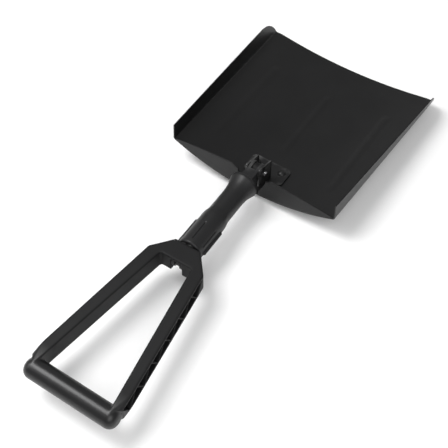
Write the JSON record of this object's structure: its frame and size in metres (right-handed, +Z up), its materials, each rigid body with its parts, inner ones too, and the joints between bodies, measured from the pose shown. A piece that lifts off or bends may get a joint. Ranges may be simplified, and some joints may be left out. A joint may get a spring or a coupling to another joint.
{
  "type": "camp shovel",
  "caption": "Black tri-fold camp shovel with a scoop blade, a screw locking collar and a trussed D-handle.",
  "frame": {"origin": "on the ground under the middle of the open shovel's length", "axes": "+Y along the neck towards the blade's front edge, +Z up out of the scoop, +X to the right"},
  "size_m": [0.2676, 0.6522, 0.0631],
  "materials": {
    "blade_steel": "fine black powder coat",
    "bracket_steel": "satin black paint",
    "bare_steel": "plain turned steel",
    "knuckle_metal": "black cast metal",
    "bronze": "sintered bronze",
    "tube_aluminium": "black anodised",
    "collar_nylon": "smooth satin nylon",
    "handle_nylon": "fine grained glass-filled nylon",
    "wiper_rubber": "matt black"
  },
  "bodies": {
    "neck": {"shaft_tube": "tube_aluminium", "handle_tongue": "knuckle_metal", "lock_rod": "bare_steel", "tongue_roll_pins": "bare_steel", "tongue_bushes": "bronze", "retaining_ring": "bare_steel", "thrust_washer": "bronze"},
    "knuckle": {"blade_knuckle": "knuckle_metal", "knuckle_key_pins": "bare_steel", "knuckle_bushes": "bronze"},
    "blade": {"blade_pan": "blade_steel", "hinge_bracket": "bracket_steel", "bracket_rivets": "bracket_steel", "rivet_washers": "bracket_steel", "blade_pivot_pin": "bare_steel", "pivot_washers": "bracket_steel", "pivot_clips": "bracket_steel", "blade_cam": "bracket_steel"},
    "collar": {"locking_collar": "collar_nylon", "collar_insert": "tube_aluminium", "collar_wiper": "wiper_rubber"},
    "handle": {"d_handle": "handle_nylon", "handle_pivot_pin": "bare_steel", "handle_pivot_nut": "bare_steel", "handle_cam": "bracket_steel"}
  },
  "joints": [
    {"name": "collar_turn", "type": "hinge", "parent": "neck", "child": "collar", "pos_m": [0, -0.0003, 0.0423], "axis": [0, 1, 0], "range_deg": [0, 90]},
    {"name": "knuckle_draw", "type": "slide", "parent": "neck", "child": "knuckle", "axis": [0, -1, 0], "range_m": [0, 0.00075]},
    {"name": "blade_fold", "type": "hinge", "parent": "knuckle", "child": "blade", "pos_m": [0, 0.0597, 0.0423], "axis": [1, 0, 0], "range_deg": [0, 180]},
    {"name": "handle_fold", "type": "hinge", "parent": "neck", "child": "handle", "pos_m": [0, -0.1093, 0.0423], "axis": [1, 0, 0], "range_deg": [0, 160]}
  ],
  "couplings": [
    {"joint": "collar_turn", "follows": "knuckle_draw", "rad_per_m": 2094.4}
  ]
}
